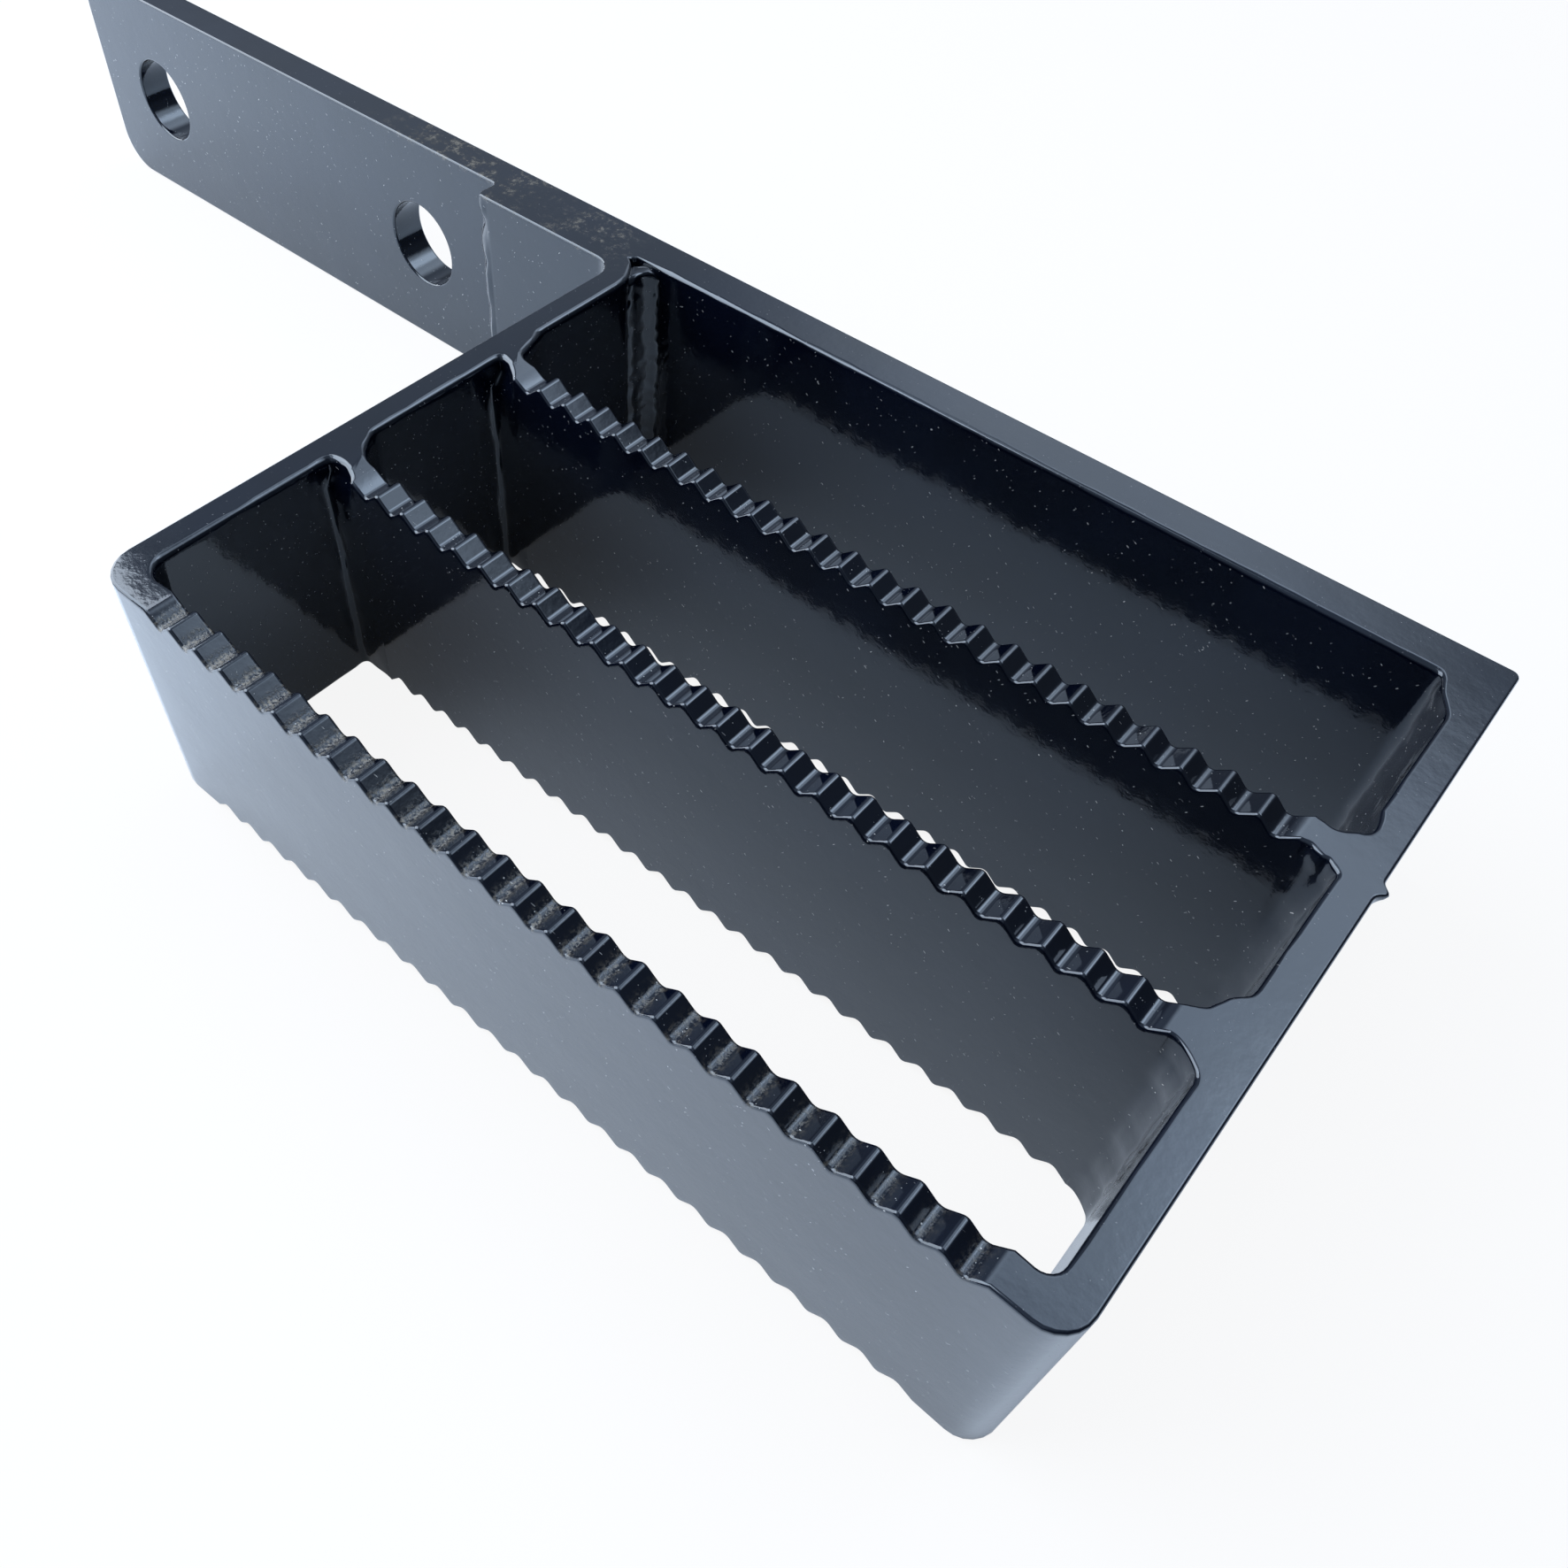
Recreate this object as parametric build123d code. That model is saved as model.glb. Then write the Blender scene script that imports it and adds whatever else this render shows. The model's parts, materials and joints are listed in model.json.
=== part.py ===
from build123d import *
import os

# Towbar step: a welded steel step that is bolted between a towball and its towbar.
# Millimetres. X runs along the mounting bar towards the step, Y towards the vehicle, Z up.
# The origin is midway between the two bolt holes, on the mounting bar's rear face.

# Flat bars, all set on edge and flush at top and bottom
BAR_HEIGHT = 45.0
MOUNT_THICK = 7.5
STRIP_THICK = 5.0
TREAD_THICK = 5.0

# Mounting bar, with a hole for each towball bolt
HOLE_SPACING = 90.0
HOLE_DIAMETER = 17.5
HOLE_TO_END = 23.0
HOLE_TO_STEP = 60.0
FREE_END_RADIUS = 8.0
STEP_END_RADIUS = 1.0
SEAT_SHORT_OF_WELD = 0.5

# Step frame, one bent strip, over its outer faces; bend radii are inside ones
FRAME_WIDTH = 160.5
FRAME_DEPTH = 113.5
FRONT_BEND_RADIUS = 6.5
FLANGE_BEND_RADIUS = 4.0
FLANGE_LENGTH = 35.5

# Clear gaps from the front bar to the front tread bar, and on to the rear tread bar
FRONT_GAP = 32.5
MIDDLE_GAP = 30.5

# V notches along the top and bottom edges of the front bar and the tread bars
NOTCH_PITCH = 5.56
NOTCH_DEPTH = 2.4
CREST_RADIUS = 0.4
LEAST_PLAIN_END = 10.5

# How far each row of notches sits off the middle of the frame
FRONT_ROW_SHIFT = 1.0
FRONT_TREAD_SHIFT = 0.75
REAR_TREAD_SHIFT = -0.15

# Welds: legs along the bar and along the piece it meets, as shares of the strip's thickness
FLANGE_WELD_SHARES = (0.4, 0.86)
FLANGE_WELD_SHORT_OF_TOP = 4.0
LEFT_CORNER_WELD_SHARES = (0.2, 1.3)
LEFT_CORNER_WELD_ROOT = 1.0
RIGHT_CORNER_WELD_SHARES = (0.84, 1.4)
TREAD_WELD_SHARES = {
    ("front", "left", "front"): (0.4, 0.4),
    ("front", "left", "rear"): (0.6, 1.0),
    ("front", "right", "front"): (0.92, 0.56),
    ("front", "right", "rear"): (0.96, 1.2),
    ("rear", "left", "front"): (0.32, 0.36),
    ("rear", "left", "rear"): (0.5, 1.3),
    ("rear", "right", "front"): (0.88, 0.44),
    ("rear", "right", "rear"): (0.8, 0.5),
}
WELD_HOLLOW = 0.2

# Spatter bead on the right arm's outer face, beside the rear tread bar
SPATTER_RADIUS = 1.2

# Places that follow from the sizes above
TOP = BAR_HEIGHT / 2
BOTTOM = -TOP
HOLE_X = HOLE_SPACING / 2
FREE_END_X = -HOLE_X - HOLE_TO_END
LEFT_X = HOLE_X + HOLE_TO_STEP
RIGHT_X = LEFT_X + FRAME_WIDTH
LEFT_INNER_X = LEFT_X + STRIP_THICK
RIGHT_INNER_X = RIGHT_X - STRIP_THICK
FACE_Y = -MOUNT_THICK
FRONT_Y = FACE_Y - FRAME_DEPTH
FLANGE_FRONT_Y = FACE_Y - STRIP_THICK
FLANGE_END_X = LEFT_X - FLANGE_LENGTH
SEAT_END_X = FLANGE_END_X - FLANGE_WELD_SHARES[0] * STRIP_THICK - SEAT_SHORT_OF_WELD
FRONT_TREAD_Y = FRONT_Y + STRIP_THICK + FRONT_GAP
REAR_TREAD_Y = FRONT_TREAD_Y + TREAD_THICK + MIDDLE_GAP
NOTCH_COUNT = int((FRAME_WIDTH - 2 * LEAST_PLAIN_END) / NOTCH_PITCH)
ROW_LENGTH = NOTCH_COUNT * NOTCH_PITCH
ROW_MIDDLE_X = (LEFT_X + RIGHT_X) / 2


def upright(profile, front_y, thick):
    """Solid of an X-Z profile that reaches from front_y back by thick."""
    return extrude(Plane.XZ.offset(-front_y - thick) * profile, thick)


def plan_solid(profile, low=BOTTOM, high=TOP):
    """Solid of an X-Y profile between two heights."""
    return extrude(Pos(0, 0, low) * profile, high - low)


def notch_rows(shift, front_y, thick):
    """Cutters for the V notches of one bar, along its top and its bottom edge."""
    start = ROW_MIDDLE_X - ROW_LENGTH / 2 + shift
    end = start + ROW_LENGTH
    points = [(start, TOP)]
    for i in range(NOTCH_COUNT):
        points.append((start + (i + 0.5) * NOTCH_PITCH, TOP - NOTCH_DEPTH))
        points.append((start + (i + 1) * NOTCH_PITCH, TOP))
    points.append((end, TOP + NOTCH_DEPTH))
    points.append((start, TOP + NOTCH_DEPTH))
    row = make_face(Polyline(*points, close=True))
    at_top = row.vertices().group_by(Axis.Y)[1]
    crests = [v for v in at_top if start + CREST_RADIUS < v.X < end - CREST_RADIUS]
    row = fillet(crests, CREST_RADIUS)
    cutter = upright(row, front_y - CREST_RADIUS, thick + 2 * CREST_RADIUS)
    return cutter + mirror(cutter, Plane.XY)


def mounting_bar():
    """Flat bar with the two bolt holes and a rounded free end; the towball's seat is a face of its own."""
    length = RIGHT_X - FREE_END_X
    profile = Pos((RIGHT_X + FREE_END_X) / 2, 0) * Rectangle(length, BAR_HEIGHT)
    free_corners = profile.vertices().group_by(Axis.X)[0]
    profile = fillet(free_corners, FREE_END_RADIUS)
    step_corners = profile.vertices().group_by(Axis.X)[-1]
    profile = fillet(step_corners, STEP_END_RADIUS)
    for x in (-HOLE_X, HOLE_X):
        profile -= Pos(x, 0) * Circle(HOLE_DIAMETER / 2)
    bar = upright(profile, FACE_Y, MOUNT_THICK)
    front = bar.faces().sort_by(Axis.Y)[0]
    other_faces = [face for face in bar.faces() if face != front]
    seat_and_rest = front.split(Plane.YZ.offset(SEAT_END_X), keep=Keep.BOTH)
    return Solid(Shell([*other_faces, *seat_and_rest]))


def frame_plan():
    """The bent strip seen from above: flange, left arm, front bar and right arm."""
    outer_bend = FRONT_BEND_RADIUS + STRIP_THICK
    outer_face = FilletPolyline(
        (FLANGE_END_X, FLANGE_FRONT_Y),
        (LEFT_X, FLANGE_FRONT_Y),
        (LEFT_X, FRONT_Y),
        (RIGHT_X, FRONT_Y),
        (RIGHT_X, FACE_Y),
        radius=[FLANGE_BEND_RADIUS, outer_bend, outer_bend],
    )
    return make_face(offset(outer_face, STRIP_THICK, side=Side.LEFT))


def step_frame():
    """The bent strip, with the notches of its front bar."""
    return plan_solid(frame_plan()) - notch_rows(FRONT_ROW_SHIFT, FRONT_Y, STRIP_THICK)


def tread_bar(front_y, shift):
    """Serrated bar between the arms."""
    length = RIGHT_INNER_X - LEFT_INNER_X
    blank = upright(Pos(ROW_MIDDLE_X, 0) * Rectangle(length, BAR_HEIGHT), front_y, TREAD_THICK)
    return blank - notch_rows(shift, front_y, TREAD_THICK)


def fillet_weld(corner, along_bar, along_arm, low=BOTTOM, high=TOP):
    """Upright fillet weld with a hollow face in the corner between two plates."""
    corner = Vector(*corner)
    bar_toe = corner + Vector(*along_bar)
    arm_toe = corner + Vector(*along_arm)
    middle = (bar_toe + arm_toe) * 0.5
    hollow = middle + (corner - middle) * WELD_HOLLOW
    outline = Line(corner, bar_toe) + ThreePointArc(bar_toe, hollow, arm_toe) + Line(arm_toe, corner)
    return plan_solid(make_face(outline), low, high)


def weld_legs(shares):
    """Lengths of a weld's two legs."""
    return [share * STRIP_THICK for share in shares]


def flange_weld():
    """Weld down the end of the flange, which stops short of the top."""
    bar_leg, end_leg = weld_legs(FLANGE_WELD_SHARES)
    return fillet_weld(
        (FLANGE_END_X, FACE_Y), (-bar_leg, 0), (0, -end_leg), high=TOP - FLANGE_WELD_SHORT_OF_TOP
    )


def left_corner_weld():
    """Weld that fills the wedge between the flange's bend and the mounting bar."""
    bar_leg, arm_leg = weld_legs(LEFT_CORNER_WELD_SHARES)
    outer_bend = FLANGE_BEND_RADIUS + STRIP_THICK
    bend_x = LEFT_X - FLANGE_BEND_RADIUS
    root_x = bend_x + (outer_bend**2 - (outer_bend - LEFT_CORNER_WELD_ROOT) ** 2) ** 0.5
    wedge = Polyline(
        (root_x, FACE_Y),
        (LEFT_INNER_X + bar_leg, FACE_Y),
        (LEFT_INNER_X, FACE_Y - arm_leg),
        (root_x, FACE_Y - outer_bend),
        close=True,
    )
    return plan_solid(make_face(wedge) - frame_plan())


def right_corner_weld():
    """Weld in the corner where the right arm butts against the mounting bar."""
    bar_leg, arm_leg = weld_legs(RIGHT_CORNER_WELD_SHARES)
    return fillet_weld((RIGHT_INNER_X, FACE_Y), (-bar_leg, 0), (0, -arm_leg))


def tread_weld(front_y, end, side, shares):
    """Weld on one side of one end of a tread bar."""
    bar_leg, arm_leg = weld_legs(shares)
    x, inward = (LEFT_INNER_X, 1) if end == "left" else (RIGHT_INNER_X, -1)
    y, outward = (front_y, -1) if side == "front" else (front_y + TREAD_THICK, 1)
    return fillet_weld((x, y), (inward * bar_leg, 0), (0, outward * arm_leg))


def spatter_bead():
    """Half bead stuck to the right arm's outer face, level with the top."""
    ball = Pos(RIGHT_X, REAR_TREAD_Y, TOP - SPATTER_RADIUS) * Sphere(SPATTER_RADIUS)
    return split(ball, Plane.YZ.offset(RIGHT_X), keep=Keep.TOP)


nodes = {
    "mounting_bar": mounting_bar(),
    "step_frame": step_frame(),
    "front_tread_bar": tread_bar(FRONT_TREAD_Y, FRONT_TREAD_SHIFT),
    "rear_tread_bar": tread_bar(REAR_TREAD_Y, REAR_TREAD_SHIFT),
    "flange_weld": flange_weld(),
    "left_corner_weld": left_corner_weld(),
    "right_corner_weld": right_corner_weld(),
    "spatter_bead": spatter_bead(),
}
for (tread, end, side), shares in TREAD_WELD_SHARES.items():
    tread_y = FRONT_TREAD_Y if tread == "front" else REAR_TREAD_Y
    nodes[f"{tread}_tread_{end}_{side}_weld"] = tread_weld(tread_y, end, side, shares)

os.makedirs("parts", exist_ok=True)
for name, solid in nodes.items():
    export_step(solid, f"parts/{name}.step")
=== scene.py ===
"""Towbar step: one painted skin over the welded bars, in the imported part's frame."""

import json
import math

import bmesh
import bpy
from mathutils import Euler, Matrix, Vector, noise


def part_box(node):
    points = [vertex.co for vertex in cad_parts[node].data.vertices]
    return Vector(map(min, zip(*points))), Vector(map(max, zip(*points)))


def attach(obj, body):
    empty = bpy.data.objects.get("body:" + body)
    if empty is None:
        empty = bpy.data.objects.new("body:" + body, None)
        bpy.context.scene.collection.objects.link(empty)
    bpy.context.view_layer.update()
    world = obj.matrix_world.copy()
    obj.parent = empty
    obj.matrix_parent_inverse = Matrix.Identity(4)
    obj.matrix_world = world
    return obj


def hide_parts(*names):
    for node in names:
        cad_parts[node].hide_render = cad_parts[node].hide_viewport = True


MM = 0.001

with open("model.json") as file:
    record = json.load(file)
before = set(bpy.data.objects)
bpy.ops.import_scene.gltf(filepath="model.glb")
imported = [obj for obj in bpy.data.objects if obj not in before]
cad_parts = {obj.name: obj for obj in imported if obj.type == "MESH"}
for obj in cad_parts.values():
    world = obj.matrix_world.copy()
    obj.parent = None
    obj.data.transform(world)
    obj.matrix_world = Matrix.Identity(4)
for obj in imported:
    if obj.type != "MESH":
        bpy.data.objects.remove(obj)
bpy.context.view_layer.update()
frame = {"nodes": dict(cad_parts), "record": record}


def node_box(name):
    """Lowest and highest corner of a CAD node, in millimetres."""
    low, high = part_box(name)
    return low / MM, high / MM


bar_low, bar_high = node_box("mounting_bar")
strip_low, strip_high = node_box("step_frame")
front_low, front_high = node_box("front_tread_bar")
rear_low, rear_high = node_box("rear_tread_bar")
bolts = next(m for m in frame["record"]["mounts"] if m["name"] == "towball_bolts")

# Places in plan, in millimetres
TOP = bar_high.z
LEFT = front_low.x - (strip_high.x - front_high.x)
LEFT_IN = front_low.x
RIGHT_IN = front_high.x
RIGHT = strip_high.x
STRIP = RIGHT - RIGHT_IN
FRONT = strip_low.y
FRONT_IN = FRONT + STRIP
BAR_FACE = bar_low.y
BAR_BACK = bar_high.y
FLANGE_END = strip_low.x
FLANGE_FACE = BAR_FACE - STRIP
HOLE_X = bolts["dims"]["spacing_x_mm"] / 2
HOLE_R = bolts["dims"]["hole_r_mm"]
PLATE_END = FLANGE_END - 8.0  # where the bolted end's own mesh meets the rest

# Bends and corners
FRONT_BEND = 11.5
FLANGE_BEND = 4.0
FREE_END_RADIUS = 8.0
FREE_END_STEPS = 14
REAR_CORNER = 1.3
HOLE_SEGMENTS = 56

# Serrated rows
PITCH = 5.56
NOTCHES = 25
DEPTH = 2.4
CREST_ROUND = 0.75
ROOT_ROUND = 1.1
ROWS = {
    "front": {"start": LEFT + 11.75, "front": FRONT, "rear": FRONT_IN},
    "front_tread": {"start": LEFT + 11.5, "front": front_low.y, "rear": front_high.y},
    "rear_tread": {"start": LEFT + 10.6, "front": rear_low.y, "rear": rear_high.y},
}
ROW_LENGTH = PITCH * NOTCHES

# Spatter on the right arm
NUB_Y = rear_low.y - 0.4
NUB_HEIGHT = 1.15
NUB_SPREAD = 0.9
NUB_DROP = 1.4
NUB_STEP = 0.3
NUB_STEPS = 8

# Skin
RIM = 0.5
RIM_STEPS = 4
WALL_STEPS = 22
EDGE_STEP = 3.0
MERGE = 2e-6
LEFT_RIM = 1.1
RIGHT_RIM = 0.6
BAR_RIM = 0.85
RIM_SWING = 0.45
RIM_SWING_SCALE = 0.35

# Welds: how lumpy, and the depth over which the outline at the top turns into the one lower down
WELD_LUMP = 0.3
WELD_PROUD = 0.2
WELD_FADE = 3.0
WELD_EASE_FROM = 1.0
WELD_EASE_OVER = 3.5
FLANGE_WELD_LUMPS = 2.2

# Groove at the rear left corner: where it ends on the mounting bar, off the left arm's two faces
GROOVE_END = 1.4
GROOVE_CLEAR = 4.0

# Bead in that groove: section in plan off the left arm's outer face and the mounting bar, and its other sizes
BEAD_SECTION = (
    (0.8, -1.6),
    (3.6, -6.2),
    (4.75, -5.3),
    (5.0, -3.9),
    (5.3, -2.5),
    (5.9, -1.3),
    (6.6, -0.3),
    (6.3, 0.6),
    (3.0, 0.8),
    (0.8, -1.6),
)
BEAD_MIDDLE = (4.2, -2.6)
BEAD_TOP = TOP - 0.6
BEAD_FOOT = -TOP + 0.4
BEAD_DOME = 2.4
BEAD_ROWS = 110

# Left ends of the tread bars: where the top starts to fall towards the first notch, and how steeply
STUB_ROOT = {"front_tread": LEFT_IN + 3.6, "rear_tread": LEFT_IN + 2.2}
STUB_SLOPE = 0.25

# Weld round the flange's end in plan, off that end and the mounting bar: lower down, and bare at the top
FLANGE_BEAD = (
    (-3.5, 0.0, -3.5, 0.0),
    (-2.2, -0.1, -0.6, 0.0),
    (-2.0, -1.2, -0.1, -0.6),
    (-1.4, -2.5, 0.0, -1.9),
    (-0.5, -3.6, 0.0, -3.6),
    (0.6, -4.4, 0.5, -4.7),
    (1.7, -4.87, 1.6, -4.97),
    (3.2, -5.0, 3.2, -5.0),
)

# Colours of the paint and of what lies on it
PAINT_DARK = (0.0008, 0.0016, 0.0056, 1)
PAINT_LIGHT = (0.0018, 0.0034, 0.0100, 1)
DIRT = (0.30, 0.265, 0.205, 1)
FLECK = (0.62, 0.63, 0.62, 1)

# Surroundings: colours of the dark side, the dim side and the window, and the level that is all window
DARK_SIDE = (0.03, 0.036, 0.045, 1)
DIM_SIDE = (0.29, 0.345, 0.43, 1)
WINDOW = (3.5, 4.0, 4.7, 1)
WINDOW_LEVEL = 4.0

# Soft panels: direction from the step, distance, side, radiance and colour
PANELS = {
    "left_panel": ((-0.774, -0.319, 0.546), 0.75, 0.8, 3.6, (0.94, 1.0, 1.09)),
    "top_panel": ((-0.5, -0.25, 0.83), 1.1, 0.8, 1.2, (0.9, 1.0, 1.12)),
}

# Camera, fitted to the photograph's edges
CAMERA_AT = (257.011, -175.537, 156.041)
CAMERA_TURN = (37.4802, -1.8342, 41.0882)
CAMERA_LENS = 30.761
CAMERA_SHIFT = (0.0675, 0.0078)

# Welds in plan, as (off the arm, off the bar) at the top and lower down, from the serrated row to the arm
WELD_LINES = {
    ("front_tread", "left", "front"): (
        ((6.5, 0), (6.0, 0.0), (5.1, -0.8), (3.6, -1.5), (2.6, -1.65), (1.6, -1.6), (0.6, -1.3), (0.15, -0.8),
         (0, 0.5), (0, 2.5)),
        ((6.5, 0), (6.0, 0), (5.0, 0), (3.6, 0), (2.0, 0), (1.1, 0), (0.5, 0.15), (0.15, 0.5), (0, 1.1), (0, 2.5)),
    ),
    ("front_tread", "left", "rear"): (
        ((6.5, 0), (5.3, 0.05), (4.3, 0.3), (3.6, 0.7), (3.1, 1.1), (2.1, 2.0), (1.3, 3.0), (0.5, 4.3), (0.1, 5.2),
         (0, 6.2)),
        ((6.5, 0), (5.3, 0), (4.3, 0), (3.6, 0.1), (3.0, 0.35), (2.0, 1.2), (1.2, 2.3), (0.6, 3.6), (0.1, 4.8),
         (0, 6.2)),
    ),
    ("rear_tread", "left", "front"): (
        ((5.6, 0), (5.15, 0.0), (4.4, -0.6), (3.4, -1.2), (2.2, -1.9), (1.2, -2.1), (0.5, -2.2), (0.1, -1.8),
         (0, -0.5), (0, 2.2)),
        ((5.6, 0), (5.2, 0), (4.6, 0), (3.4, 0), (2.2, 0), (1.1, 0), (0.5, 0.15), (0.15, 0.5), (0, 1.1), (0, 2.2)),
    ),
    ("rear_tread", "left", "rear"): (
        ((5.6, 0), (4.4, 0.0), (3.2, 0.1), (2.2, 0.9), (1.75, 2.1), (1.25, 3.7), (0.75, 5.2), (0.3, 6.4),
         (0.05, 7.2), (0, 8.2)),
        ((5.6, 0), (4.4, 0), (3.2, 0), (2.4, 0.25), (1.8, 1.2), (1.2, 2.8), (0.7, 4.3), (0.3, 5.6), (0.05, 6.5),
         (0, 8.2)),
    ),
    ("rear_tread", "right", "rear"): (
        ((5.9, 0), (4.6, -0.1), (3.5, -0.3), (2.5, 0.05), (1.7, 0.6), (0.9, 1.3), (0.2, 1.7), (-0.4, 2.3),
         (-0.7, 3.2), (-0.6, 4.2), (-0.4, 5.2), (0, 6.6)),
        ((5.9, 0), (4.6, 0), (3.6, 0), (2.6, 0.2), (1.8, 0.5), (1.1, 1.0), (0.5, 1.7), (0.15, 2.4), (0, 3.2),
         (0, 4.2), (0, 5.2), (0, 6.6)),
    ),
    ("rear_tread", "right", "front"): (
        ((5.9, 0), (5.4, 0.0), (4.5, -0.15), (3.5, 0.25), (2.5, 0.55), (1.8, 0.45), (1.2, 0.85), (0.4, 1.4),
         (0, 2.0), (0, 2.8)),
        ((5.9, 0), (5.2, 0), (4.4, 0), (3.5, 0.1), (2.6, 0.4), (1.9, 0.7), (1.2, 1.1), (0.5, 1.6), (0, 2.2),
         (0, 2.8)),
    ),
    ("front_tread", "right", "rear"): (
        ((5.0, 0), (4.5, 0.3), (4.0, 0.6), (3.3, 1.2), (2.9, 2.0), (2.4, 3.0), (2.0, 3.9), (1.3, 4.8), (0.7, 5.4),
         (0.2, 6.1), (0, 7.2)),
        ((5.0, 0), (4.5, 0.3), (4.0, 0.6), (3.3, 1.2), (2.9, 2.0), (2.4, 3.0), (2.0, 3.9), (1.3, 4.8), (0.7, 5.4),
         (0.2, 6.1), (0, 7.2)),
    ),
    ("front_tread", "right", "front"): (
        ((5.0, 0), (4.4, -0.05), (3.6, 0.15), (2.8, 0.5), (2.0, 0.95), (1.2, 1.55), (0.6, 2.1), (0.2, 2.8),
         (0, 3.6)),
        ((5.0, 0), (4.4, 0), (3.6, 0.15), (2.8, 0.5), (2.0, 0.95), (1.2, 1.55), (0.6, 2.1), (0.2, 2.8), (0, 3.6)),
    ),
    ("mounting_bar", "right", "front"): (
        ((4.9, 0), (4.2, 0.1), (3.7, 0.3), (3.1, 1.0), (2.8, 1.9), (2.3, 3.2), (1.8, 4.2), (1.2, 5.2), (0.7, 6.0),
         (0.2, 7.0), (0, 8.1)),
        ((4.9, 0), (4.2, 0.05), (3.4, 0.4), (2.7, 1.0), (2.2, 1.8), (1.7, 2.8), (1.2, 3.8), (0.8, 4.8), (0.4, 5.8),
         (0.1, 6.8), (0, 8.1)),
    ),
}


class Corner:
    """A point of an outline in plan, with how it is rounded and what lies on it."""

    def __init__(self, x, y, round_by=0.0, rim=RIM, weld=0.0, cut=False, at_top=None, stub=None):
        self.x = x
        self.y = y
        self.round_by = round_by
        self.rim = rim
        self.weld = weld
        self.cut = cut
        self.at_top = at_top or (x, y)
        self.stub = stub

    def moved(self, x, y):
        return Corner(x, y, rim=self.rim, weld=self.weld)

    def mixed(self, other, share):
        def part(a, b):
            return a + (b - a) * share

        top = tuple(part(a, b) for a, b in zip(self.at_top, other.at_top))
        return Corner(
            part(self.x, other.x),
            part(self.y, other.y),
            rim=part(self.rim, other.rim),
            weld=min(self.weld, other.weld),
            at_top=top,
        )


def round_corners(corners, closed, steps=6):
    """The outline with each corner replaced by an arc of its radius."""
    count = len(corners)
    out = []
    for i, c in enumerate(corners):
        ends = not closed and i in (0, count - 1)
        if c.round_by <= 0 or ends:
            out.append(c)
            continue
        here = Vector((c.x, c.y))
        before = Vector((corners[i - 1].x, corners[i - 1].y)) - here
        after = Vector((corners[(i + 1) % count].x, corners[(i + 1) % count].y)) - here
        half = before.angle(after) / 2
        reach = min(c.round_by / math.tan(half), before.length * 0.5, after.length * 0.5)
        radius = reach * math.tan(half)
        middle = (before.normalized() + after.normalized()).normalized()
        centre = here + middle * (radius / math.sin(half))
        first = here + before.normalized() * reach - centre
        last = here + after.normalized() * reach - centre
        turn = first.angle_signed(last)
        for k in range(steps + 1):
            a = -turn * k / steps
            spoke = Vector(
                (
                    first.x * math.cos(a) - first.y * math.sin(a),
                    first.x * math.sin(a) + first.y * math.cos(a),
                )
            )
            out.append(c.moved(centre.x + spoke.x, centre.y + spoke.y))
    return out


def divide_edges(corners, step):
    """A closed outline with points along its long edges, apart from its cut ones."""
    out = []
    for a, b in zip(corners, corners[1:] + corners[:1]):
        out.append(a)
        if a.cut and b.cut:
            continue
        parts = int(math.hypot(b.x - a.x, b.y - a.y) / step)
        out += [a.mixed(b, k / parts) for k in range(1, parts)]
    return out


def inward(points, cuts):
    """For each point of a closed outline, how it moves when the outline shrinks by one."""
    count = len(points)
    area = sum(points[i - 1][0] * points[i][1] - points[i][0] * points[i - 1][1] for i in range(count))
    side = 1 if area > 0 else -1
    moves = []
    for i in range(count):
        after = (i + 1) % count
        if cuts[i]:
            other = points[after] if cuts[after] else points[i - 1]
            moves.append((Vector(other) - Vector(points[i])).normalized())
            continue
        lines = []
        for a, b in ((i - 1, i), (i, after)):
            along = Vector((points[b][0] - points[a][0], points[b][1] - points[a][1])).normalized()
            lines.append(Vector((-along.y, along.x)) * side)
        middle = (lines[0] + lines[1]).normalized()
        moves.append(middle / max(middle.dot(lines[0]), 0.4))
    return moves


def levels():
    """Shares of the height between the two rims at which a wall has points, closer near the top."""
    near_top = [0.012, 0.026, 0.042, 0.062, 0.09]
    rest = [0.09 + 0.91 * k / (WALL_STEPS - 5) for k in range(1, WALL_STEPS - 5)]
    return near_top + rest


LEVELS = levels()


def lump(x, y, z):
    """Uneven weld metal, from about -1 to 1."""
    at = Vector((x * 0.16, y * 0.16, z * 0.3))
    return noise.noise(at) * 1.2 + 0.5 * noise.noise(at * 2.3 + Vector((7, 3, 1)))


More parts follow.
